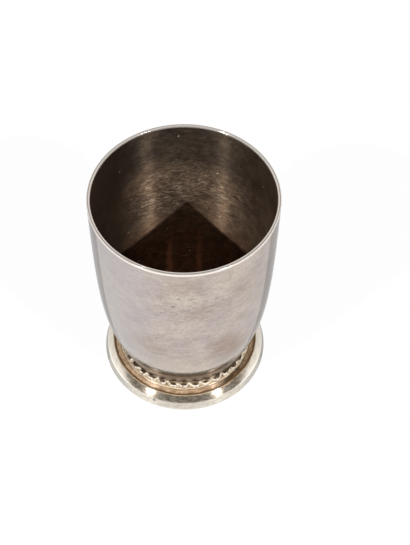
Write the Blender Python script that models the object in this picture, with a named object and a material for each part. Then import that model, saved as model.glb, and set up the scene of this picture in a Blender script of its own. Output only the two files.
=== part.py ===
"""A small silver kiddush cup: a beaker soldered onto a low stepped foot, with a crimped zigzag
ribbon round the joint. Blender 4.5, metres, +Z up, origin at the middle of the foot's underside."""

import math

import bmesh
import bpy
from mathutils import Vector

MM = 0.001

# How finely the round pieces are cut
TURN_STEPS = 72
WALL_STEPS = 12
CORNER_STEPS = 4
LIP_STEPS = 6
SLOPE_STEPS = 3
SHARP_EDGE = math.radians(35)
MITRE_LIMIT = 0.5

# Seams that solder closes on the real cup stay open by this much
SEAM_GAP = 0.3 * MM

# The bowl, a raised beaker of sheet silver
BOWL_HEIGHT = 76.0 * MM
LIP_RADIUS = 30.0 * MM
BOTTOM_RADIUS = 18.6 * MM
BOWL_WALL = 0.8 * MM
CORNER_RADIUS = 3.0 * MM
WALL_START_ANGLE = math.radians(64.4)
WALL_END_ANGLE = math.radians(89.1)
WALL_START_REACH = 0.233
WALL_END_REACH = 0.584
LIP_THICKNESS = 1.1 * MM
LIP_SWELL_HEIGHT = 1.6 * MM
LIP_ROUNDING = 0.6 * MM

# The crimped ribbon round the joint
RIBBON_WAVES = 36
RIBBON_STATIONS = 6
RIBBON_HEIGHT = 1.7 * MM
RIBBON_THICKNESS = 0.4 * MM
RIBBON_DEPTH = 1.0 * MM
RIBBON_SHARPNESS = 0.15

# The foot, spun from sheet: seat, cove, groove and ridge, sloping band, side wall
FOOT_SHEET = 0.8 * MM
SEAT_MARGIN = 0.05 * MM
COVE_WIDTH = 1.65 * MM
COVE_RISE = 0.65 * MM
COVE_HANDLE_OUT = 0.4
COVE_HANDLE_DOWN = 0.75
GROOVE_WIDTH = 0.3 * MM
GROOVE_DEPTH = 0.2 * MM
RIDGE_WIDTH = 0.2 * MM
BAND_WIDTH = 2.0 * MM
BAND_RISE = 1.95 * MM
BAND_CROWN = 0.12 * MM
SIDE_TAPER = 0.9 * MM
SIDE_HEIGHT = 2.45 * MM

SEAT_HEIGHT = SIDE_HEIGHT + BAND_RISE + COVE_RISE
BOWL_BOTTOM = SEAT_HEIGHT + SEAM_GAP
BOWL_TOP = BOWL_BOTTOM + BOWL_HEIGHT


def clear_scene():
    for obj in list(bpy.data.objects):
        bpy.data.objects.remove(obj, do_unlink=True)


def metal(name, color, roughness):
    """A silver surface: its reflected colour, and how scratched or tarnished it is."""
    material = bpy.data.materials.new(name)
    material.use_nodes = True
    shader = material.node_tree.nodes["Principled BSDF"]
    shader.inputs["Base Color"].default_value = (*color, 1.0)
    shader.inputs["Metallic"].default_value = 1.0
    shader.inputs["Roughness"].default_value = roughness
    material.diffuse_color = (*color, 1.0)
    return material


def link(name, mesh, material):
    """A finished mesh as a named piece, shaded smooth except at its real edges."""
    mesh.materials.append(material)
    piece = bpy.data.objects.new(name, mesh)
    bpy.context.scene.collection.objects.link(piece)
    mesh.shade_smooth()
    mesh.set_sharp_from_angle(angle=SHARP_EDGE)
    return piece


def bezier(start, start_handle, end_handle, end, share):
    """The point at this share of a cubic Bezier curve."""
    rest = 1.0 - share
    return (
        start * rest**3
        + start_handle * 3 * rest**2 * share
        + end_handle * 3 * rest * share**2
        + end * share**3
    )


def bezier_direction(start, start_handle, end_handle, end, share):
    """The direction in which that curve runs at this share."""
    rest = 1.0 - share
    slope = (
        (start_handle - start) * rest**2
        + (end_handle - start_handle) * 2 * rest * share
        + (end - end_handle) * share**2
    )
    return slope.normalized()


def arc(centre, radius, first, last, steps):
    """Points of a round stretch, both ends included. Angles are measured from the +r axis."""
    angles = [first + (last - first) * step / steps for step in range(steps + 1)]
    return [centre + radius * Vector((math.cos(a), math.sin(a))) for a in angles]


def inset_outline(points, distance):
    """The same open outline moved to its right-hand side by this distance, with mitred corners."""
    moved = []
    for index, point in enumerate(points):
        before = (point - points[max(index - 1, 0)]).normalized()
        after = (points[min(index + 1, len(points) - 1)] - point).normalized()
        before = before if before.length else after
        after = after if after.length else before
        along = (before + after).normalized()
        mitre = 1.0 / max(along.dot(after), MITRE_LIMIT)
        moved.append(point + Vector((along.y, -along.x)) * distance * mitre)
    return moved


def turned(name, outline, material):
    """A solid turned about Z. The outline is (radius, height) pairs from axis to axis, and runs
    down the outer side."""
    mesh = bpy.data.meshes.new(name)
    shape = bmesh.new()
    corners = [shape.verts.new((point.x, 0.0, point.y)) for point in outline]
    for first, second in zip(corners, corners[1:]):
        shape.edges.new((first, second))
    shape.to_mesh(mesh)
    shape.free()
    piece = link(name, mesh, material)
    screw = piece.modifiers.new("turn", "SCREW")
    screw.steps = TURN_STEPS
    screw.render_steps = TURN_STEPS
    screw.use_merge_vertices = True
    screw.merge_threshold = 0.01 * MM
    screw.use_smooth_shade = True
    return piece


def bowl_side(inward=0.0):
    """One face of the bowl's wall, from the flat bottom's edge up to the lip: a round corner, then
    one long curve that straightens towards the lip. The inner face lies inward by the wall."""
    corner_top = math.radians(-90) + WALL_START_ANGLE
    corner_centre = Vector((BOTTOM_RADIUS, BOWL_BOTTOM + CORNER_RADIUS))
    corner = arc(
        corner_centre, CORNER_RADIUS - inward, math.radians(-90), corner_top, CORNER_STEPS
    )
    start = corner_centre + CORNER_RADIUS * Vector((math.cos(corner_top), math.sin(corner_top)))
    lip = Vector((LIP_RADIUS, BOWL_TOP))
    reach = lip.y - start.y
    toward = Vector((math.cos(WALL_START_ANGLE), math.sin(WALL_START_ANGLE)))
    back = Vector((math.cos(WALL_END_ANGLE), math.sin(WALL_END_ANGLE)))
    start_handle = start + toward * reach * WALL_START_REACH
    lip_handle = lip - back * reach * WALL_END_REACH
    wall = []
    for step in range(1, WALL_STEPS + 1):
        share = step / WALL_STEPS
        point = bezier(start, start_handle, lip_handle, lip, share)
        along = bezier_direction(start, start_handle, lip_handle, lip, share)
        wall.append(point + Vector((-along.y, along.x)) * inward)
    return corner + wall


def radius_at(outline, height):
    """The outline's radius at this height."""
    for low, high in zip(outline, outline[1:]):
        if low.y <= height <= high.y:
            share = (height - low.y) / (high.y - low.y)
            return low.x + (high.x - low.x) * share
    return outline[-1].x


def lip_outline(outer, inner):
    """The lip's round edge from the inner wall over the top to the outer wall. The sheet swells
    inwards just below it, so that the edge is thicker than the wall."""
    swell_low = BOWL_TOP - LIP_SWELL_HEIGHT
    round_low = BOWL_TOP - LIP_ROUNDING
    outer_radius = radius_at(outer, round_low)
    inner_radius = outer_radius - LIP_THICKNESS
    middle = Vector(((outer_radius + inner_radius) / 2, round_low))
    edge = []
    for step in range(LIP_STEPS + 1):
        angle = math.pi * (1 - step / LIP_STEPS)
        offset = Vector((LIP_THICKNESS / 2 * math.cos(angle), LIP_ROUNDING * math.sin(angle)))
        edge.append(middle + offset)
    inner_low = Vector((radius_at(inner, swell_low), swell_low))
    outer_low = Vector((radius_at(outer, swell_low), swell_low))
    return [inner_low, *edge, outer_low]


def make_bowl():
    outer = bowl_side()
    inner = bowl_side(inward=BOWL_WALL)
    swell_low = BOWL_TOP - LIP_SWELL_HEIGHT
    inner_side = [point for point in inner if point.y < swell_low - LIP_ROUNDING]
    outer_side = [point for point in outer if point.y < swell_low - LIP_ROUNDING]
    floor_centre = Vector((0.0, BOWL_BOTTOM + BOWL_WALL))
    bottom_centre = Vector((0.0, BOWL_BOTTOM))
    outline = [floor_centre, *inner_side, *lip_outline(outer, inner)]
    outline += [*reversed(outer_side), bottom_centre]
    return turned("bowl", outline, metal("polished_silver", (0.80, 0.76, 0.72), 0.22))


def ribbon_radii():
    """The radii between which the ribbon's middle line swings. Its inner turns meet the bowl's
    side, but for the seam."""
    top = BOWL_BOTTOM + RIBBON_HEIGHT
    silver_side = radius_at(bowl_side(), top)
    innermost = silver_side + SEAM_GAP + RIBBON_THICKNESS / 2
    return innermost, innermost + RIBBON_DEPTH


def foot_outline():
    """The foot's upper side, from the seat's edge down to the ground."""
    seat_edge = Vector((ribbon_radii()[1] + RIBBON_THICKNESS / 2 + SEAT_MARGIN, SEAT_HEIGHT))
    cove_foot = seat_edge + Vector((COVE_WIDTH, -COVE_RISE))
    cove_handle = seat_edge + Vector(
        (COVE_WIDTH * COVE_HANDLE_OUT, -COVE_RISE * COVE_HANDLE_DOWN)
    )
    cove = [
        bezier(seat_edge, cove_handle, cove_handle, cove_foot, step / SLOPE_STEPS)
        for step in range(SLOPE_STEPS + 1)
    ]
    groove = cove_foot + Vector((GROOVE_WIDTH / 2, -GROOVE_DEPTH))
    ridge = cove_foot + Vector((GROOVE_WIDTH, 0.0))
    band_top = ridge + Vector((RIDGE_WIDTH, 0.0))
    band_foot = band_top + Vector((BAND_WIDTH, -BAND_RISE))
    across = (band_foot - band_top).normalized()
    outward = Vector((-across.y, across.x))
    band = []
    for step in range(SLOPE_STEPS + 1):
        share = step / SLOPE_STEPS
        crown = outward * BAND_CROWN * math.sin(math.pi * share)
        band.append(band_top + (band_foot - band_top) * share + crown)
    ground = Vector((band_foot.x + SIDE_TAPER, 0.0))
    return [*cove, groove, ridge, *band, ground]


def make_foot():
    upper = foot_outline()
    seat_edge, band_foot, ground = upper[0], upper[-2], upper[-1]
    cove_foot = upper[SLOPE_STEPS]
    plain = [Vector((0.0, SEAT_HEIGHT)), seat_edge, cove_foot, band_foot, ground]
    lower = inset_outline(plain, FOOT_SHEET)
    skirt = (lower[-1] - lower[-2]).normalized()
    lower[-1] = lower[-2] + skirt * (lower[-2].y / -skirt.y)
    outline = [Vector((0.0, SEAT_HEIGHT)), *upper, *reversed(lower)]
    return turned("foot", outline, metal("tarnished_silver", (0.70, 0.62, 0.52), 0.30))


def ribbon_path():
    """The ribbon's middle line seen from above: a zigzag ring with softened turns."""
    innermost, outermost = ribbon_radii()
    middle = (innermost + outermost) / 2
    swing = (outermost - innermost) / 2
    count = RIBBON_WAVES * RIBBON_STATIONS
    points = []
    for station in range(count):
        angle = math.tau * station / count
        phase = math.tau * station / RIBBON_STATIONS
        zigzag = math.cos(phase) * (1.0 - RIBBON_SHARPNESS * math.sin(phase) ** 2)
        radius = middle + swing * zigzag
        points.append(Vector((radius * math.cos(angle), radius * math.sin(angle))))
    return points


def make_zigzag_band():
    path = ribbon_path()
    count = len(path)
    shape = bmesh.new()
    low = BOWL_BOTTOM
    high = BOWL_BOTTOM + RIBBON_HEIGHT
    rings = []
    for side, height in ((-1, low), (1, low), (1, high), (-1, high)):
        ring = []
        for index, point in enumerate(path):
            along = (path[(index + 1) % count] - path[index - 1]).normalized()
            outward = Vector((along.y, -along.x))
            place = point + outward * side * RIBBON_THICKNESS / 2
            ring.append(shape.verts.new((place.x, place.y, height)))
        rings.append(ring)
    for ring, following in zip(rings, rings[1:] + rings[:1]):
        for index in range(count):
            beyond = (index + 1) % count
            shape.faces.new((ring[index], ring[beyond], following[beyond], following[index]))
    bmesh.ops.recalc_face_normals(shape, faces=shape.faces)
    mesh = bpy.data.meshes.new("zigzag_band")
    shape.to_mesh(mesh)
    shape.free()
    return link("zigzag_band", mesh, metal("bright_ribbon_silver", (0.84, 0.78, 0.68), 0.25))


clear_scene()
make_bowl()
make_foot()
make_zigzag_band()
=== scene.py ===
# %% [markdown]
# # A small silver kiddush cup
#
# The cup is a plain silver beaker on a low foot, with a crimped zigzag ribbon soldered round the
# joint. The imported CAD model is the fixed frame: it says how big each piece is and where it sits.
# Each step below builds a finer version of one piece over its CAD solid, and then gives it the
# finish of old, handled silver.

# %% Load the frame
import math
import random

import bmesh
import bpy
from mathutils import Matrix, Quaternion, Vector


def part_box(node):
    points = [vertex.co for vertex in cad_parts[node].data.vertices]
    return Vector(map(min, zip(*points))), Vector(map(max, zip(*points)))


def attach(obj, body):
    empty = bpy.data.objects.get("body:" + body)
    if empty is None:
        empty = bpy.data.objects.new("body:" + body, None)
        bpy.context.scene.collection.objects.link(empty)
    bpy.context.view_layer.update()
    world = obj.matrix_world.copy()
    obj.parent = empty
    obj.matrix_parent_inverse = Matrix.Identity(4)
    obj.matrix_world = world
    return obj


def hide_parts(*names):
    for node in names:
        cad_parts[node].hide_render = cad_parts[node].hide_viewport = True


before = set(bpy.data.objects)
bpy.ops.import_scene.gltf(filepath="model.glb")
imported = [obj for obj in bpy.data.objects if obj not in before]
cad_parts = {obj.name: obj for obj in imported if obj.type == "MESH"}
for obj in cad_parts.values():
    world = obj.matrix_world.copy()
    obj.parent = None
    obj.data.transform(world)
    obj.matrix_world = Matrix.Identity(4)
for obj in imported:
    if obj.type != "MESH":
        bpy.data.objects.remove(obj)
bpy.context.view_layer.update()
MM = 0.001

# %% [markdown]
# ## The camera
#
# The cup was seen from above and in front, through a longish lens. The ellipses of the lip and of
# the foot fix where the camera stood: about 46 cm away, 57 degrees above the table. A focal length
# in pixels is turned to millimetres with the sensor's width.

# %% Place the camera
PICTURE_WIDTH = 410
FOCAL_PIXELS = 1300
SENSOR_MM = 36.0
CAMERA_PLACE = Vector((0.0, -253.9, 389.8)) * MM
CAMERA_AIM = Vector((6.8, 0.0, 41.5)) * MM
CAMERA_ROLL = math.radians(0.88)

bpy.ops.object.camera_add(location=CAMERA_PLACE)
camera = bpy.context.object
camera.name = "camera"
turn = (CAMERA_AIM - CAMERA_PLACE).to_track_quat("-Z", "Y")
camera.rotation_euler = (turn @ Quaternion((0, 0, 1), CAMERA_ROLL)).to_euler()
camera.data.sensor_fit = "HORIZONTAL"
camera.data.sensor_width = SENSOR_MM
camera.data.lens = FOCAL_PIXELS * SENSOR_MM / PICTURE_WIDTH
bpy.context.scene.camera = camera
print("lens in mm:", round(camera.data.lens, 1))

# %% [markdown]
# ## Turning a piece
#
# The bowl and the foot were spun on a lathe, so they are made the same way here. One point is
# extruded along the outline, from the axis out, round the piece and back to the axis. A spin about
# the axis then sweeps the outline into a closed body. The seam and the two poles are merged, and
# the normals are made to point outwards.

# %% A helper that spins an outline
TURN_STEPS = 256
WELD = 0.002 * MM


def start_from_one_point(name, place):
    """A new mesh object in edit mode, with one selected point."""
    bpy.ops.object.select_all(action="DESELECT")
    bpy.ops.mesh.primitive_plane_add(size=MM, location=place)
    piece = bpy.context.object
    piece.name = name
    bpy.ops.object.transform_apply(location=True, rotation=False, scale=False)
    bpy.ops.object.mode_set(mode="EDIT")
    bpy.ops.mesh.select_all(action="SELECT")
    bpy.ops.mesh.merge(type="CENTER")
    return piece


def spin_outline(name, outline):
    """A body turned about Z from (radius, height) points that start and end on the axis."""
    first = outline[0]
    piece = start_from_one_point(name, (first.x, 0.0, first.y))
    for here, following in zip(outline, outline[1:]):
        step = (following.x - here.x, 0.0, following.y - here.y)
        bpy.ops.mesh.extrude_region_move(TRANSFORM_OT_translate={"value": step})
    bpy.ops.mesh.select_all(action="SELECT")
    bpy.ops.mesh.spin(steps=TURN_STEPS, angle=math.tau, center=(0, 0, 0), axis=(0, 0, 1))
    bpy.ops.mesh.select_all(action="SELECT")
    bpy.ops.mesh.remove_doubles(threshold=WELD)
    bpy.ops.mesh.normals_make_consistent(inside=False)
    bpy.ops.object.mode_set(mode="OBJECT")
    bpy.ops.object.shade_smooth_by_angle(angle=math.radians(40))
    print(name, "has", len(piece.data.polygons), "faces")
    return piece


def bezier(points, share):
    """The point at this share of a cubic Bezier curve, and the direction it runs in there."""
    start, start_handle, end_handle, end = points
    rest = 1.0 - share
    place = (
        start * rest**3
        + start_handle * 3 * rest**2 * share
        + end_handle * 3 * rest * share**2
        + end * share**3
    )
    along = (
        (start_handle - start) * rest**2
        + (end_handle - start_handle) * 2 * rest * share
        + (end - end_handle) * share**2
    )
    return place, along.normalized()


# %% [markdown]
# ## The bowl
#
# A silversmith raises or spins such a beaker from one sheet. Its wall is nearly straight below
# the lip and curves in more and more towards the bottom edge. The lip is a little thicker than
# the sheet, and rounded. The numbers are those of the CAD solid, cut four times as fine.

# %% Spin the bowl
foot_low, foot_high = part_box("foot")
bowl_low, bowl_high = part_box("bowl")
BOTTOM_RADIUS = 18.6 * MM
CORNER_RADIUS = 3.0 * MM
LIP_RADIUS = 30.0 * MM
WALL = 0.8 * MM
WALL_START_ANGLE = math.radians(64.4)
WALL_END_ANGLE = math.radians(89.1)
WALL_START_REACH = 0.233
WALL_END_REACH = 0.584
LIP_THICKNESS = 1.1 * MM
LIP_ROUNDING = 0.6 * MM
LIP_FLATNESS = 0.55
LIP_SWELL_HEIGHT = 1.6 * MM
CORNER_STEPS = 8
WALL_STEPS = 48
LIP_STEPS = 24


def bowl_side(inward=0.0):
    """The bowl's outer face from its bottom edge to the lip, or its inner face."""
    corner_centre = Vector((BOTTOM_RADIUS, bowl_low.z + CORNER_RADIUS))
    side = []
    for step in range(CORNER_STEPS + 1):
        angle = math.radians(-90) + WALL_START_ANGLE * step / CORNER_STEPS
        out = Vector((math.cos(angle), math.sin(angle)))
        side.append(corner_centre + out * (CORNER_RADIUS - inward))
    start = corner_centre + out * CORNER_RADIUS
    lip = Vector((LIP_RADIUS, bowl_high.z))
    reach = lip.y - start.y
    toward = Vector((math.cos(WALL_START_ANGLE), math.sin(WALL_START_ANGLE)))
    back = Vector((math.cos(WALL_END_ANGLE), math.sin(WALL_END_ANGLE)))
    curve = (
        start,
        start + toward * reach * WALL_START_REACH,
        lip - back * reach * WALL_END_REACH,
        lip,
    )
    for step in range(1, WALL_STEPS + 1):
        place, along = bezier(curve, step / WALL_STEPS)
        side.append(place + Vector((-along.y, along.x)) * inward)
    return side


def radius_at(side, height):
    """The radius of one face of the wall at this height."""
    for low, high in zip(side, side[1:]):
        if low.y <= height <= high.y:
            return low.x + (high.x - low.x) * (height - low.y) / (high.y - low.y)
    return side[-1].x


outer = bowl_side()
inner = bowl_side(inward=WALL)
round_low = bowl_high.z - LIP_ROUNDING
swell_low = bowl_high.z - LIP_SWELL_HEIGHT
lip_outer = radius_at(outer, round_low)
lip_middle = Vector((lip_outer - LIP_THICKNESS / 2, round_low))
lip = []
for step in range(LIP_STEPS + 1):
    angle = math.pi * step / LIP_STEPS
    across = math.copysign(abs(math.cos(angle)) ** LIP_FLATNESS, math.cos(angle))
    up = abs(math.sin(angle)) ** LIP_FLATNESS
    lip.append(lip_middle + Vector((LIP_THICKNESS / 2 * across, LIP_ROUNDING * up)))

SEAM = 0.02 * MM
outline = [Vector((0.0, foot_high.z + SEAM)), Vector((BOTTOM_RADIUS, foot_high.z + SEAM))]
outline += [point for point in outer if point.y < swell_low]
outline += lip
outline += [point for point in reversed(inner) if point.y < swell_low]
outline.append(Vector((0.0, inner[0].y)))
bowl = spin_outline("silver_bowl", outline)

# %% [markdown]
# ## The foot
#
# The foot is spun from thinner sheet and is open underneath. From the bowl outwards it has a
# shallow cove, a fine groove with a ridge, a sloping band, and a side wall that leans out to the
# table. Real spun edges are never sharp, so the band turns into the side wall over a small round.

# %% Spin the foot
SHEET = 0.8 * MM
SEAT_EDGE = 23.05 * MM
COVE_FOOT = Vector((24.70, 4.40)) * MM
GROOVE = Vector((24.85, 4.20)) * MM
RIDGE = Vector((25.00, 4.42)) * MM
BAND_TOP = Vector((25.20, 4.40)) * MM
BAND_FOOT = Vector((27.10, 2.62)) * MM
SIDE_TOP = Vector((27.28, 2.30)) * MM
GROUND_RADIUS = 28.1 * MM
GROUND_WIDTH = 0.86 * MM
UNDER_SIDE = Vector((26.59, 1.95)) * MM
UNDER_BAND = Vector((24.31, 3.70)) * MM
UNDER_COVE = Vector((22.90, 4.25)) * MM
COVE_HANDLE_OUT = 0.4
COVE_HANDLE_DOWN = 0.75
BAND_CROWN = 0.12 * MM
STEPS = 12

outline = [Vector((0.0, foot_high.z)), Vector((SEAT_EDGE, foot_high.z))]
seat_edge = outline[-1]
across = (COVE_FOOT.x - seat_edge.x) * COVE_HANDLE_OUT
down = (COVE_FOOT.y - seat_edge.y) * COVE_HANDLE_DOWN
cove_hollow = seat_edge + Vector((across, down))
cove = (seat_edge, cove_hollow, cove_hollow, COVE_FOOT)
outline += [bezier(cove, step / STEPS)[0] for step in range(1, STEPS + 1)]
outline += [GROOVE, RIDGE]
slope = BAND_FOOT - BAND_TOP
outward = Vector((-slope.y, slope.x)).normalized()
for step in range(STEPS + 1):
    share = step / STEPS
    outline.append(BAND_TOP + slope * share + outward * BAND_CROWN * math.sin(math.pi * share))
outline.append(SIDE_TOP)
outline.append(Vector((GROUND_RADIUS, foot_low.z)))
outline.append(Vector((GROUND_RADIUS - GROUND_WIDTH, foot_low.z)))
outline += [UNDER_SIDE, UNDER_BAND, UNDER_COVE]
outline.append(Vector((0.0, foot_high.z - SHEET)))
foot = spin_outline("silver_foot", outline)

# %% [markdown]
# ## The zigzag ribbon
#
# The ornament is a narrow ribbon of silver, crimped by hand into 36 folds, stood on edge on the
# foot and soldered round the bowl. It starts as a circle with sixteen points to each fold. Each of
# the sixteen is pulled in or out by its place in the fold. The circle is extruded up, and its top
# is pulled further and made fuller than its bottom, because the pliers gripped the top. Last, every
# fold is pushed a little out of line with proportional editing, as no two folds of hand work are
# alike. On the right a knock has pressed the folds flat, so their inner turns are pushed out.

# %% Crimp the ribbon
ribbon_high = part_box("zigzag_band")[1]
FOLDS = 36
POINTS_PER_FOLD = 16
FOLD_SQUARENESS = 2.4
BOTTOM_MIDDLE = 22.33 * MM
BOTTOM_SWING = 0.36 * MM
BOTTOM_FULLNESS = -0.30
TOP_MIDDLE = 22.36 * MM
TOP_SWING = 0.60 * MM
TOP_FULLNESS = 0.50
RIBBON_THICKNESS = 0.46 * MM
FIRST_FOLD = math.radians(0.8)
ribbon_middle_height = (foot_high.z + ribbon_high.z) / 2


def select_ribbon_points(ribbon, is_wanted):
    """Selects the points for which is_wanted(fold, place in the fold, height) holds."""
    bpy.ops.mesh.select_all(action="DESELECT")
    mesh = bmesh.from_edit_mesh(ribbon.data)
    number = mesh.verts.layers.int["number"]
    for vertex in mesh.verts:
        vertex.select = is_wanted(*divmod(vertex[number], POINTS_PER_FOLD), vertex.co.z)
    mesh.select_flush_mode()
    bmesh.update_edit_mesh(ribbon.data)


def radius_in_fold(place, middle, swing, fullness):
    """The radius at this place in a fold. Fullness widens the outer turn and narrows the inner."""
    wave = math.cos(math.tau * place / POINTS_PER_FOLD) + fullness
    return middle + swing * math.tanh(FOLD_SQUARENESS * wave)


bpy.ops.object.select_all(action="DESELECT")
bpy.ops.mesh.primitive_circle_add(
    vertices=FOLDS * POINTS_PER_FOLD,
    radius=BOTTOM_MIDDLE,
    fill_type="NOTHING",
    location=(0, 0, foot_high.z + SEAM),
)
ribbon = bpy.context.object
ribbon.name = "zigzag_ribbon"
bpy.ops.object.transform_apply(location=True, rotation=False, scale=False)
bpy.ops.object.mode_set(mode="EDIT")
mesh = bmesh.from_edit_mesh(ribbon.data)
number = mesh.verts.layers.int.new("number")
for vertex in mesh.verts:
    vertex[number] = vertex.index
bmesh.update_edit_mesh(ribbon.data)
bottom_radii = [
    radius_in_fold(place, BOTTOM_MIDDLE, BOTTOM_SWING, BOTTOM_FULLNESS)
    for place in range(POINTS_PER_FOLD)
]
for place, radius in enumerate(bottom_radii):
    pull = radius / BOTTOM_MIDDLE
    select_ribbon_points(ribbon, lambda fold, here, height: here == place)
    bpy.ops.transform.resize(value=(pull, pull, 1), center_override=(0, 0, 0))
bpy.ops.mesh.select_all(action="SELECT")
rise = ribbon_high.z - foot_high.z - SEAM
bpy.ops.mesh.extrude_region_move(TRANSFORM_OT_translate={"value": (0, 0, rise)})
for place, radius in enumerate(bottom_radii):
    pull = radius_in_fold(place, TOP_MIDDLE, TOP_SWING, TOP_FULLNESS) / radius
    select_ribbon_points(
        ribbon, lambda fold, here, height: here == place and height > ribbon_middle_height
    )
    bpy.ops.transform.resize(value=(pull, pull, 1), center_override=(0, 0, 0))

# %% Push the folds out of line
ALONG = 0.40 * MM
ACROSS = 0.20 * MM
REACH = 1.6 * MM
FLATTENED_FROM = 36
FLATTENED_TO = 62
FLATTENED_BY = 0.40 * MM
random.seed(36)
for fold in range(FOLDS):
    for place in (0, POINTS_PER_FOLD // 2):
        mesh = bmesh.from_edit_mesh(ribbon.data)
        number = mesh.verts.layers.int["number"]
        wanted = fold * POINTS_PER_FOLD + place
        point = next(vertex.co for vertex in mesh.verts if vertex[number] == wanted)
        out = Vector((point.x, point.y, 0)).normalized()
        along = Vector((-out.y, out.x, 0))
        move = along * random.uniform(-ALONG, ALONG) + out * random.uniform(-ACROSS, ACROSS)
        azimuth = math.degrees(math.atan2(point.x, -point.y))
        if place and FLATTENED_FROM < azimuth < FLATTENED_TO:
            move = out * FLATTENED_BY
        select_ribbon_points(ribbon, lambda here, at, height: (here, at) == (fold, place))
        bpy.ops.transform.translate(
            value=move,
            use_proportional_edit=True,
            proportional_edit_falloff="SMOOTH",
            proportional_size=REACH,
        )
bpy.ops.mesh.select_all(action="SELECT")
bpy.ops.transform.rotate(value=FIRST_FOLD, orient_axis="Z", center_override=(0, 0, 0))
bpy.ops.mesh.normals_make_consistent(inside=False)
bpy.ops.object.mode_set(mode="OBJECT")

# %% Give the ribbon its thickness
RUBBED_WIDTH = 0.13 * MM
solidify = ribbon.modifiers.new("thickness", "SOLIDIFY")
solidify.thickness = RIBBON_THICKNESS
solidify.offset = 0
bpy.ops.object.modifier_apply(modifier="thickness")
bevel = ribbon.modifiers.new("rubbed edges", "BEVEL")
bevel.limit_method = "ANGLE"
bevel.angle_limit = math.radians(60)
bevel.width = RUBBED_WIDTH
bevel.segments = 2
bpy.ops.object.modifier_apply(modifier="rubbed edges")
bpy.ops.object.shade_smooth_by_angle(angle=math.radians(60))
radii = [math.hypot(vertex.co.x, vertex.co.y) / MM for vertex in ribbon.data.vertices]
print("ribbon has", len(ribbon.data.polygons), "faces")
print("its radii in mm:", round(min(radii), 2), "to", round(max(radii), 2))

# %% [markdown]
# ## Making materials
#
# A material is a tree of small steps, and each helper here adds one kind of step and hands back its
# result for the next one. Most of what follows is one sentence said again and again: find where
# something is, make a ramp of it from 0 to 1, and blend a colour over the film by that share. Sizes
# are real ones, so a pattern keeps its scale whatever the piece.

# %% Helpers for materials
def color(hex_code):
    """An sRGB hex colour as the linear colour that a shader takes."""
    channels = [int(hex_code[place : place + 2], 16) / 255 for place in (1, 3, 5)]
    linear = [c / 12.92 if c <= 0.04045 else ((c + 0.055) / 1.055) ** 2.4 for c in channels]
    return (*linear, 1.0)


def per(size_in_mm):
    """The texture scale that makes one feature about this many millimetres across."""
    return 1.0 / (size_in_mm * MM)


def add(tree, kind, inputs=None, output=0, **settings):
    """Adds one shader node. Each input is given a value, or the socket that it is linked to."""
    node = tree.nodes.new("ShaderNode" + kind)
    for name, value in settings.items():
        setattr(node, name, value)
    for socket, value in (inputs or {}).items():
        if isinstance(value, bpy.types.NodeSocket):
            tree.links.new(value, node.inputs[socket])
        else:
            node.inputs[socket].default_value = value
    return node.outputs[output]


def new_material(name):
    """A material, its node tree and its shader."""
    material = bpy.data.materials.new(name)
    material.use_nodes = True
    return material, material.node_tree, material.node_tree.nodes["Principled BSDF"]


def noise(tree, place, size_in_mm, detail, roughness=0.5, distortion=0.0, output=0):
    """Cloudy noise whose features are about this many millimetres across."""
    inputs = {
        "Vector": place,
        "Scale": per(size_in_mm),
        "Detail": detail,
        "Roughness": roughness,
        "Distortion": distortion,
    }
    return add(tree, "TexNoise", inputs, output=output)


def ramp(tree, value, start, end, low=0, high=1):
    """Low where the value is at start, high where it is at end, and smooth between."""
    inputs = {0: value, 1: start, 2: end, 3: low, 4: high}
    return add(tree, "MapRange", inputs, interpolation_type="SMOOTHSTEP")


def between(tree, share, low, high):
    """The number that lies this share of the way from low to high."""
    return add(tree, "MapRange", {0: share, 3: low, 4: high})


def blend(tree, share, under, over, **settings):
    """Lays one colour over another. The share says how much of it covers."""
    inputs = {0: share, 6: under, 7: over}
    return add(tree, "Mix", inputs, output=2, data_type="RGBA", **settings)


def calculate(tree, operation, *numbers):
    """Works out one number from others, each of them a value or a socket."""
    return add(tree, "Math", dict(enumerate(numbers)), operation=operation)


def distance(tree, place, point):
    """How far each place is from one point."""
    return add(tree, "VectorMath", {0: place, 1: point}, output="Value", operation="DISTANCE")


def from_axis(tree, place):
    """How far each place is from the cup's upright axis."""
    flat = add(tree, "Mapping", {"Vector": place, "Scale": (1, 1, 0)})
    return add(tree, "VectorMath", {0: flat}, output="Value", operation="LENGTH")


def on_wall(azimuth, height, radius):
    """The point at this many degrees right of the front, in metres."""
    angle = math.radians(azimuth)
    return Vector((radius * math.sin(angle), -radius * math.cos(angle), height))


# %% [markdown]
# ## Outside silver
#
# Sterling silver, polished once and then handled for years. The metal mirrors the table in front
# of it, and a thin film of tarnish dims it to a warm grey. The film is uneven: mauve and beige
# clouds a centimetre across, brown blooms where fingers held it, fine grain, wiping marks and
# short dark scratches. The rubbed lip has lost its film, so it is brighter, with a fine brown line
# round its top. At the foot of the wall a painted grey line stands for the reflection of the foot's
# dark band. The film below it is brown and dull, and is painted lighter at the sides as a
# reflection of the white paper.

# %% Polished silver: clouds and patches in the film
bowl_silver, tree, shader = new_material("polished_sterling_with_a_film_of_tarnish")
place = add(tree, "TexCoord", output="Object")
height = add(tree, "SeparateXYZ", {0: place}, output="Z")
right = add(tree, "SeparateXYZ", {0: place}, output="X")
clouds = noise(tree, place, 16, 3, 0.6)
share = ramp(tree, clouds, 0.38, 0.62)
film = blend(tree, share, color("#bbafab"), color("#cabeb2"))
moved = add(tree, "Mapping", {"Vector": place, "Location": (0.2, 0.1, 0.3)})
patches = noise(tree, moved, 6, 6, 0.68, 0.5)
share = ramp(tree, patches, 0.44, 0.74, high=0.50)
film = blend(tree, share, film, color("#9a8c84"))
share = ramp(tree, patches, 0.44, 0.28, high=0.3)
film = blend(tree, share, film, color("#d3c9c2"))
grain = noise(tree, place, 0.8, 3, 0.75)
share = ramp(tree, grain, 0.40, 0.66, high=0.38)
film = blend(tree, share, film, color("#8b7f77"))
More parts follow.
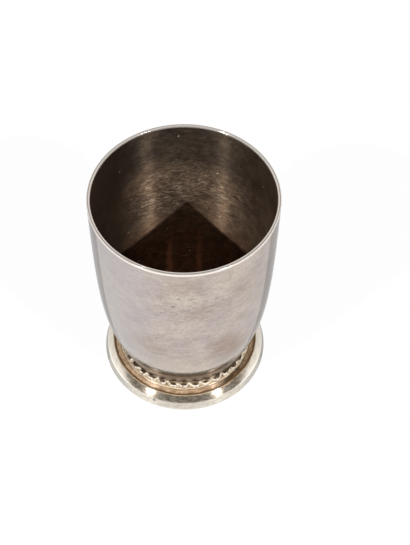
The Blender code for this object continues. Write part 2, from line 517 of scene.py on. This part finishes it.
# The film is thinner and cooler on the left, where a hand held the cup.
share = ramp(tree, right, -6 * MM, -20 * MM, high=0.45)
film = blend(tree, share, film, color("#bfbbbe"))

# %% Polished silver: brown blooms where it was held
warp = noise(tree, moved, 5, 4, output="Color")
WARP = 9 * MM
shifted = add(tree, "VectorMath", {0: place, 1: (-WARP / 2,) * 3}, operation="ADD")
warped = add(tree, "VectorMath", {0: warp, 1: (WARP,) * 3, 2: shifted}, operation="MULTIPLY_ADD")
BLOOMS = (
    # degrees right of the front, height, size and strength of each bloom
    (-1, 76, 11, 0.32),
    (27, 37, 10, 0.80),
    (-22, 38, 9, 0.40),
    (36, 66, 15, 0.22),
    (9, 60, 9, 0.40),
    (36, 31, 11, 0.75),
    (165, 45, 20, 0.5),
    (-120, 60, 18, 0.45),
)
for azimuth, bloom_height, size, strength in BLOOMS:
    bloom_height *= MM
    centre = on_wall(azimuth, bloom_height, radius_at(outer, bloom_height))
    away = distance(tree, warped, centre)
    share = ramp(tree, away, 0, size * MM, strength, 0)
    film = blend(tree, share, film, color("#957f70"))

# %% Polished silver: wiping marks and scratches
# Wiping marks run round the bowl: stretched along X and Y, they are five times as long as high.
# Real ones are hairlines. These are drawn coarser, as the picture could not show finer ones.
wiped = add(tree, "Mapping", {"Vector": place, "Scale": (0.18, 0.18, 1.0)})
marks = noise(tree, wiped, 0.9, 3, 0.7)
share = ramp(tree, marks, 0.40, 0.68, high=0.26)
film = blend(tree, share, film, color("#ddd4cb"))
# Short dark scratches are the few crests of a noise that is stretched round the bowl. Most of
# them are near one place below the lip.
SCRATCHED_AZIMUTH = 1
SCRATCHED_HEIGHT = 64 * MM
inputs = {"Vector": moved, "Scale": (0.35, 0.35, 1.0), "Rotation": (0.2, 0.35, 0)}
tilted = add(tree, "Mapping", inputs)
dashes = noise(tree, tilted, 0.8, 2, 0.5, 0.8)
dashes = ramp(tree, dashes, 0.590, 0.67, high=0.55)
radius = radius_at(outer, SCRATCHED_HEIGHT)
scratched = on_wall(SCRATCHED_AZIMUTH, SCRATCHED_HEIGHT, radius)
away = distance(tree, warped, scratched)
scratched = ramp(tree, away, 6 * MM, 13 * MM, 1, 0.08)
scratch = calculate(tree, "MULTIPLY", dashes, scratched)
film = blend(tree, scratch, film, color("#5f554d"))

# %% Polished silver: the rubbed lip
rubbed = ramp(tree, height, bowl_high.z - 1.1 * MM, bowl_high.z - LIP_ROUNDING)
film = blend(tree, rubbed, film, color("#ebe3db"))
# A fine brown line runs round the top of the lip.
radius = from_axis(tree, place)
line = LIP_RADIUS - 0.40 * LIP_THICKNESS
beside = calculate(tree, "SUBTRACT", radius, line)
beside = calculate(tree, "ABSOLUTE", beside)
share = ramp(tree, beside, 0.06 * MM, 0.20 * MM, 0.8, 0)
share = calculate(tree, "MULTIPLY", share, rubbed)
film = blend(tree, share, film, color("#8d7868"))

# %% Polished silver: the foot of the wall, and how the film shines
# Nobody reached the foot of the wall with a cloth. Its film is browner and dulls the reflection,
# below a grey line that is a painted reflection of the foot's dark band, widest and darkest in
# front. At both sides the film is painted lighter, a painted reflection of the white paper, and
# the line is higher and narrower.
FRONT_HALF = 9 * MM
SIDE_FROM = 18 * MM
aside = calculate(tree, "ABSOLUTE", right)
edge = ramp(tree, aside, FRONT_HALF, SIDE_FROM, 16.5 * MM, 19.5 * MM)
inputs = {0: aside, 1: FRONT_HALF, 2: SIDE_FROM, 3: 4.2 * MM, 4: 1.2 * MM}
line_width = add(tree, "MapRange", inputs)
above = calculate(tree, "SUBTRACT", height, edge)
over = calculate(tree, "SUBTRACT", above, line_width)
painted_dark_reflection_line = ramp(tree, over, 0.7 * MM, -0.7 * MM)
sideways_share = ramp(tree, aside, 8 * MM, SIDE_FROM)
dark_reflection_strength = between(tree, sideways_share, 0.85, 0.30)
painted_dark_reflection_line = calculate(tree, "MULTIPLY", painted_dark_reflection_line, dark_reflection_strength)
# The grey line is a painted reflection: the foot's dark band as the bowl's corner mirrors it.
film = blend(tree, painted_dark_reflection_line, film, color("#928f90"))
# The low film is brown in front and painted lighter at the sides, a painted reflection of the
# paper.
low_film_and_paper_reflection = blend(tree, sideways_share, color("#a08b7d"), color("#d6cdc5"))
never_wiped = ramp(tree, above, 1.0 * MM, -1.0 * MM)
thickness = between(tree, sideways_share, 0.8, 0.45)
share = calculate(tree, "MULTIPLY", never_wiped, thickness)
film = blend(tree, share, film, low_film_and_paper_reflection)
tree.links.new(film, shader.inputs["Base Color"])
# The lip is worn to a fine frost, which scatters a third of the light.
metal = between(tree, rubbed, 1.0, 0.68)
tree.links.new(metal, shader.inputs["Metallic"])
shader.inputs["Specular Tint"].default_value = color("#e4e4e4")
# Where the film is patchy it is also duller, and dullest at the foot of the wall.
gloss = ramp(tree, patches, 0.4, 0.7, 0.04, 0.10)
gloss = add(tree, "Mix", {0: rubbed, 2: gloss, 3: 0.12}, data_type="FLOAT")
gloss = add(tree, "Mix", {0: never_wiped, 2: gloss, 3: 0.28}, data_type="FLOAT")
tree.links.new(gloss, shader.inputs["Roughness"])
dents = noise(tree, place, 8, 2)
bump = add(tree, "Bump", {"Height": dents, "Strength": 0.3, "Distance": 0.02 * MM})
tree.links.new(bump, shader.inputs["Normal"])
bowl.data.materials.append(bowl_silver)
print(bowl_silver.name, "has", len(tree.nodes), "nodes")

# %% [markdown]
# ## Inside silver
#
# The inside was scoured round and round, and then went brown where polish never reached it. The
# fine grooves run round the wall, so a lamp smears into an upright streak. That is anisotropy:
# the shader's tangent follows the grooves, and a quarter turn lays the smear across them. The
# middle of the wall is scratched brightest, and the brown turns redder towards the bottom.

# %% Tarnished silver, scoured round: the brown
inside_silver, tree, shader = new_material("tarnished_silver_scoured_round")
place = add(tree, "TexCoord", output="Object")
height = add(tree, "SeparateXYZ", {0: place}, output="Z")
clouds = noise(tree, place, 12, 4, 0.65, 0.5)
share = ramp(tree, clouds, 0.36, 0.66)
brown = blend(tree, share, color("#806a59"), color("#a88a6f"))
low_down = ramp(tree, height, 42 * MM, 22 * MM, high=0.60)
brown = blend(tree, low_down, brown, color("#8f5a3c"))

# %% Tarnished silver, scoured round: the scratches
# The scratches are four times as long as high, and coarser than real ones, which are hairlines.
scoured = add(tree, "Mapping", {"Vector": place, "Scale": (0.26, 0.26, 1.0)})
scratches = noise(tree, scoured, 0.9, 7, 0.78, 1.3)
WORN_HEIGHT = 51 * MM
above = calculate(tree, "SUBTRACT", height, WORN_HEIGHT)
away = calculate(tree, "ABSOLUTE", above)
away = calculate(tree, "MULTIPLY_ADD", clouds, 34 * MM, away)
wear_and_painted_reflection = ramp(tree, away, 18 * MM, 31 * MM, 1.0, 0.35)
dark = ramp(tree, scratches, 0.47, 0.62, high=0.66)
depth = add(tree, "MapRange", {0: wear_and_painted_reflection, 1: 0.35, 2: 1.0, 3: 0.65, 4: 1.0})
dark = calculate(tree, "MULTIPLY", dark, depth)
brown = blend(tree, dark, brown, color("#382c24"))
bright = ramp(tree, scratches, 0.50, 0.38, high=0.78)
bright = calculate(tree, "MULTIPLY", bright, wear_and_painted_reflection)
right = add(tree, "SeparateXYZ", {0: place}, output="X")
aside = calculate(tree, "ABSOLUTE", right)
near_middle = ramp(tree, aside, 10 * MM, 22 * MM, 1.0, 0.45)
bright = calculate(tree, "MULTIPLY", bright, near_middle)
brown = blend(tree, bright, brown, color("#e3cdb0"))
mottles = noise(tree, place, 3.2, 5, 0.65, 0.4)
share = ramp(tree, mottles, 0.44, 0.64, high=0.40)
brown = blend(tree, share, brown, color("#4a3a2e"))

# %% Tarnished silver, scoured round: darker zones, painted reflections and light specks
# The wall is darkest below the lip and at both sides, most of all on the left.
share = ramp(tree, height, 54 * MM, 70 * MM, high=1.0)
brown = blend(tree, share, brown, color("#9ba2aa"), blend_type="MULTIPLY")
share = ramp(tree, right, -13 * MM, -23 * MM, high=0.9)
brown = blend(tree, share, brown, color("#352b24"))
share = ramp(tree, right, 17 * MM, 24 * MM, high=0.50)
brown = blend(tree, share, brown, color("#42362c"))
# Two reddish streaks down the back are painted reflections of the two lamp streaks on the wall.
backward = add(tree, "SeparateXYZ", {0: place}, output="Y")
at_back = ramp(tree, backward, 10 * MM, 20 * MM)
down = ramp(tree, height, 34 * MM, 16 * MM)
streak_reflection_share = calculate(tree, "MULTIPLY", at_back, down)
wavering = calculate(tree, "MULTIPLY_ADD", clouds, 5 * MM, right)
for streak_place, strength in ((-2.4 * MM, 1.0), (7.9 * MM, 0.65)):
    beside = calculate(tree, "SUBTRACT", wavering, streak_place)
    beside = calculate(tree, "ABSOLUTE", beside)
    share = ramp(tree, beside, 0, 1.7 * MM, strength, 0)
    share = calculate(tree, "MULTIPLY", share, streak_reflection_share)
    brown = blend(tree, share, brown, color("#e2a07c"))
# A few light specks, the rare crests of a fine noise.
light_specks = noise(tree, place, 1.3, 1)
light_specks = ramp(tree, light_specks, 0.785, 0.81)
brown = blend(tree, light_specks, brown, color("#fff4e2"))
tree.links.new(brown, shader.inputs["Base Color"])
# The brown is a sulphide, not a metal, so half of the surface scatters light as paint does. It
# also warms the streaks of lamp light.
shader.inputs["Metallic"].default_value = 0.5
shader.inputs["Roughness"].default_value = 0.33
shader.inputs["Specular Tint"].default_value = color("#ffdcb4")
shader.inputs["Anisotropic"].default_value = 1.0
shader.inputs["Anisotropic Rotation"].default_value = 0.25
tangent = add(tree, "Tangent", direction_type="RADIAL", axis="Z")
tree.links.new(tangent, shader.inputs["Tangent"])
bump = add(tree, "Bump", {"Height": scratches, "Strength": 0.4, "Distance": 0.03 * MM})
tree.links.new(bump, shader.inputs["Normal"])
bowl.data.materials.append(inside_silver)
print(inside_silver.name, "has", len(tree.nodes), "nodes")

# %% Give the inside faces their finish
# A face is inside if it is nearer the axis than the middle of the wall, and not under the bowl.
TOLERANCE = 0.1 * MM
inside_floor = inner[0].y
count = 0
for face in bowl.data.polygons:
    radius = math.hypot(face.center.x, face.center.y)
    inward = radius < radius_at(outer, face.center.z) - WALL / 2
    if inward and inside_floor - TOLERANCE < face.center.z < round_low:
        face.material_index = 1
        count += 1
print("inside faces:", count)

# %% [markdown]
# ## The foot's silver
#
# The foot is spun, so its grooves run round too, and a lamp smears across the band. Hands polished
# the band and the side wall clean. A painted highlight runs along the edge between them, and the
# band is painted lighter at both sides, a painted reflection of the white room. The cove under the
# bowl, which no cloth reaches, kept a tan tarnish that is darkest in the crease and on the right.
# A painted shadow runs beside the ribbon, with a bright line inside it. Each zone is a ring, so it
# is found by its distance from the cup's axis, in the same named sizes that gave the foot its
# shape.

# %% Spun silver with a tarnished cove: the clean band and side wall
foot_silver, tree, shader = new_material("spun_silver_with_a_tarnished_cove")
place = add(tree, "TexCoord", output="Object")
radius = from_axis(tree, place)
right = add(tree, "SeparateXYZ", {0: place}, output="X")
clouds = noise(tree, place, 4, 5, 0.65)
cloudy = ramp(tree, clouds, 0.36, 0.64)
aside = calculate(tree, "ABSOLUTE", right)
at_side = ramp(tree, aside, 17 * MM, 23 * MM)
# The tarnish has ragged edges: its rings are drawn at a radius that wanders a little.
ragged = calculate(tree, "MULTIPLY_ADD", clouds, 1.2 * MM, radius)
ragged = calculate(tree, "SUBTRACT", ragged, 0.6 * MM)
clean = blend(tree, cloudy, color("#f4e8d6"), color("#dccdb8"))
turned = add(tree, "Mapping", {"Vector": place, "Scale": (0.45, 0.45, 1.4)})
grain = noise(tree, turned, 0.7, 4, 0.7)
share = ramp(tree, grain, 0.42, 0.62, high=0.8)
clean = blend(tree, share, clean, color("#a3937d"))
# The band is painted lighter towards both sides, a painted reflection of the white room there.
wear_and_painted_reflection = between(tree, at_side, 0, 0.6)
clean = blend(tree, wear_and_painted_reflection, clean, color("#fff8ec"))
side = blend(tree, share, color("#e2dcd0"), color("#beb7aa"))
side = blend(tree, at_side, side, color("#bab6ae"))
on_side = ramp(tree, radius, SIDE_TOP.x - 0.02 * MM, SIDE_TOP.x + 0.06 * MM)
clean = blend(tree, on_side, clean, side)
# A painted highlight runs along the edge between the band and the side wall, strongest at the
# sides.
before_edge = ramp(tree, radius, BAND_FOOT.x - 0.08 * MM, BAND_FOOT.x - 0.02 * MM)
after_edge = ramp(tree, radius, SIDE_TOP.x, SIDE_TOP.x + 0.10 * MM, 1, 0)
painted_edge_highlight = calculate(tree, "MULTIPLY", before_edge, after_edge)
edge_highlight_strength = between(tree, at_side, 0.35, 1.0)
painted_edge_highlight = calculate(tree, "MULTIPLY", painted_edge_highlight, edge_highlight_strength)
clean = blend(tree, painted_edge_highlight, clean, color("#fffcf4"))
# One small nick, dark with polish, on the left just below that edge.
nick = on_wall(-23, 1.9 * MM, 27.4 * MM)
away = distance(tree, place, nick)
nicked = ramp(tree, away, 0.25 * MM, 0.8 * MM, 0.7, 0)
clean = blend(tree, nicked, clean, color("#4f483d"))

# %% Spun silver with a tarnished cove: the cove
tan = blend(tree, cloudy, color("#c6aa8a"), color("#ab9074"))
tan = blend(tree, share, tan, color("#86694b"))
# Dark brown blotches on the right, which thin out again at the far right.
to_right = ramp(tree, right, 9 * MM, 15 * MM)
far_right = ramp(tree, right, 18 * MM, 22 * MM, 1.0, 0.45)
to_right = calculate(tree, "MULTIPLY", to_right, far_right)
blotches = noise(tree, place, 3, 4)
blotches = ramp(tree, blotches, 0.38, 0.54, low=0.72)
share = calculate(tree, "MULTIPLY", to_right, blotches)
tan = blend(tree, share, tan, color("#45321f"))
in_crease = ramp(tree, ragged, COVE_FOOT.x - 0.45 * MM, COVE_FOOT.x - 0.20 * MM, high=0.95)
tan = blend(tree, in_crease, tan, color("#5c4126"))
on_ridge = ramp(tree, radius, GROOVE.x + 0.01 * MM, GROOVE.x + 0.09 * MM)
tan = blend(tree, on_ridge, tan, color("#ad977a"))
# A painted shadow runs round outside the ribbon as a dark line, and a bright line, strongest in
# front, runs within it.
painted_shadow_beside_ribbon = ramp(tree, ragged, SEAT_EDGE + 0.15 * MM, SEAT_EDGE + 0.29 * MM, 0.8, 0)
tan = blend(tree, painted_shadow_beside_ribbon, tan, color("#6b4d30"))
bright_line_at_ribbon_foot = ramp(tree, ragged, SEAT_EDGE - 0.05 * MM, SEAT_EDGE + 0.05 * MM, 0.7, 0)
in_front = between(tree, at_side, 1.0, 0.2)
bright_line_at_ribbon_foot = calculate(tree, "MULTIPLY", bright_line_at_ribbon_foot, in_front)
tan = blend(tree, bright_line_at_ribbon_foot, tan, color("#f4e6cb"))
within = ramp(tree, radius, 22.55 * MM, 22.75 * MM, 0.9, 0)
tan = blend(tree, within, tan, color("#ab9375"))
in_cove = ramp(tree, ragged, BAND_TOP.x + 0.05 * MM, BAND_TOP.x + 0.20 * MM, 1, 0)
film = blend(tree, in_cove, clean, tan)
tree.links.new(film, shader.inputs["Base Color"])

# %% Spun silver with a tarnished cove: how it shines
# The tarnish scatters light as paint does, and so do the edge under the painted highlight and the
# band's sides under the painted reflection.
frost = calculate(tree, "MAXIMUM", painted_edge_highlight, at_side)
frost = calculate(tree, "MULTIPLY", frost, 0.45)
frost = calculate(tree, "MAXIMUM", frost, in_cove)
metal = between(tree, frost, 1.0, 0.18)
tree.links.new(metal, shader.inputs["Metallic"])
gloss = between(tree, in_cove, 0.21, 0.42)
tree.links.new(gloss, shader.inputs["Roughness"])
shader.inputs["Anisotropic"].default_value = 0.95
shader.inputs["Anisotropic Rotation"].default_value = 0.25
tangent = add(tree, "Tangent", direction_type="RADIAL", axis="Z")
tree.links.new(tangent, shader.inputs["Tangent"])
bump = add(tree, "Bump", {"Height": grain, "Strength": 0.25, "Distance": 0.02 * MM})
tree.links.new(bump, shader.inputs["Normal"])
foot.data.materials.append(foot_silver)
print(foot_silver.name, "has", len(tree.nodes), "nodes")

# %% [markdown]
# ## The ribbon's silver
#
# Fingers and cloths rub the ribbon's top edge bright, and brown tarnish fills the folds below it.
# The bright line at its bottom is drawn in the foot's silver.

# %% Crimped silver, brown in the folds
ribbon_silver, tree, shader = new_material("crimped_silver_brown_in_the_folds")
place = add(tree, "TexCoord", output="Object")
height = add(tree, "SeparateXYZ", {0: place}, output="Z")
radius = from_axis(tree, place)
at_top = ramp(tree, height, ribbon_high.z - 0.50 * MM, ribbon_high.z - 0.15 * MM)
outside = ramp(tree, radius, 21.9 * MM, 22.2 * MM)
rubbed = calculate(tree, "MAXIMUM", at_top, outside)
grime = noise(tree, place, 1.2, 4, 0.7)
grime = ramp(tree, grime, 0.46, 0.60, high=0.85)
film = blend(tree, rubbed, color("#937a5a"), color("#fbf2e1"))
film = blend(tree, grime, film, color("#7a5d40"))
tree.links.new(film, shader.inputs["Base Color"])
# The brown scatters light as paint does, and so do the frosted edges, so little is bare metal.
shader.inputs["Metallic"].default_value = 0.3
shader.inputs["Roughness"].default_value = 0.38
bump = add(tree, "Bump", {"Height": grime, "Strength": 0.4, "Distance": 0.03 * MM})
tree.links.new(bump, shader.inputs["Normal"])
ribbon.data.materials.append(ribbon_silver)

# %% [markdown]
# ## Joining the pieces to the frame
#
# Each finished piece stands for one CAD node and rides on the cup's only body.

# %% Hand the pieces to the frame
PIECES = (
    (bowl, "bowl", "polished_silver"),
    (foot, "foot", "tarnished_silver"),
    (ribbon, "zigzag_band", "bright_ribbon_silver"),
)
for piece, node, slot in PIECES:
    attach(piece, "root")
    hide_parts(node)
    print(piece.name, "stands for", node)

# %% [markdown]
# ## The paper, the lamps and the room
#
# Silver shows what is round it, so the stage matters as much as the metal. The cup stood on white
# paper between two small lamps, one at each front corner: they draw the two streaks inside the
# bowl and the two white patches on the foot. The room in front was dark, which darkens the foot's
# band, and it was white at the sides and behind.

# %% White paper
# The camera sees the paper almost white, as in an overexposed picture. The silver sees it as it is.
OVEREXPOSED = 0.95
bpy.ops.object.select_all(action="DESELECT")
bpy.ops.mesh.primitive_plane_add(size=4, location=(0, 0, 0))
floor = bpy.context.object
floor.name = "floor"
paper, tree, shader = new_material("white_paper_sweep")
shader.inputs["Base Color"].default_value = (0.85, 0.85, 0.85, 1)
shader.inputs["Roughness"].default_value = 1.0
shader.inputs["Specular IOR Level"].default_value = 0.0
seen = add(tree, "LightPath", output="Is Camera Ray")
amount = calculate(tree, "MULTIPLY", seen, OVEREXPOSED)
glow = add(tree, "Emission", {"Color": (1, 1, 1, 1), "Strength": 1.0})
mix = add(tree, "MixShader", {0: amount, 1: shader.outputs[0], 2: glow})
tree.links.new(mix, tree.nodes["Material Output"].inputs["Surface"])
floor.data.materials.append(paper)

# %% Two small lamps
LAMP_AZIMUTHS = (-48.1, 44.1)
LAMP_ELEVATION = math.radians(43.8)
LAMP_DISTANCE = 1.5
LAMP_SIZE = 0.03
LAMP_WATTS = 13.3
for azimuth in LAMP_AZIMUTHS:
    level = math.cos(LAMP_ELEVATION)
    direction = on_wall(azimuth, math.sin(LAMP_ELEVATION), level)
    bpy.ops.object.light_add(type="AREA", location=direction * LAMP_DISTANCE)
    lamp = bpy.context.object
    lamp.data.shape = "DISK"
    lamp.data.size = LAMP_SIZE
    lamp.data.energy = LAMP_WATTS
    lamp.rotation_euler = direction.to_track_quat("Z", "Y").to_euler()

# %% The room
# The dark part of the room is a round patch, whose middle is 50 degrees up in front.
DARK_MIDDLE = math.radians(50)
DARK_FROM = 0.29
DARK_TO = 0.30
WHITE_SIDES = 1.0
WHITE_BACK = 0.6
DARK_FRONT = 0.26
EVEN_GLOW = 0.40
PALE = 0.97
world = bpy.data.worlds.new("room")
bpy.context.scene.world = world
world.use_nodes = True
tree = world.node_tree
direction = add(tree, "TexCoord", output="Generated")
backward = add(tree, "SeparateXYZ", {0: direction}, output="Y")
white = add(tree, "MapRange", {0: backward, 1: -0.2, 2: 0.5, 3: WHITE_SIDES, 4: WHITE_BACK})
front = on_wall(0, math.sin(DARK_MIDDLE), math.cos(DARK_MIDDLE))
toward = add(tree, "VectorMath", {0: direction, 1: front}, output="Value", operation="DOT_PRODUCT")
dark = add(tree, "MapRange", {0: toward, 1: DARK_FROM, 2: DARK_TO})
mirrored = add(tree, "Mix", {0: dark, 2: white, 3: DARK_FRONT}, data_type="FLOAT")
spread = add(tree, "LightPath", output="Is Diffuse Ray")
light = add(tree, "Mix", {0: spread, 2: mirrored, 3: EVEN_GLOW}, data_type="FLOAT")
seen = add(tree, "LightPath", output="Is Camera Ray")
light = add(tree, "Mix", {0: seen, 2: light, 3: PALE}, data_type="FLOAT")
tree.links.new(light, tree.nodes["Background"].inputs["Strength"])
tree.nodes["Background"].inputs["Color"].default_value = (1, 1, 1, 1)
bpy.context.scene.view_settings.view_transform = "Standard"
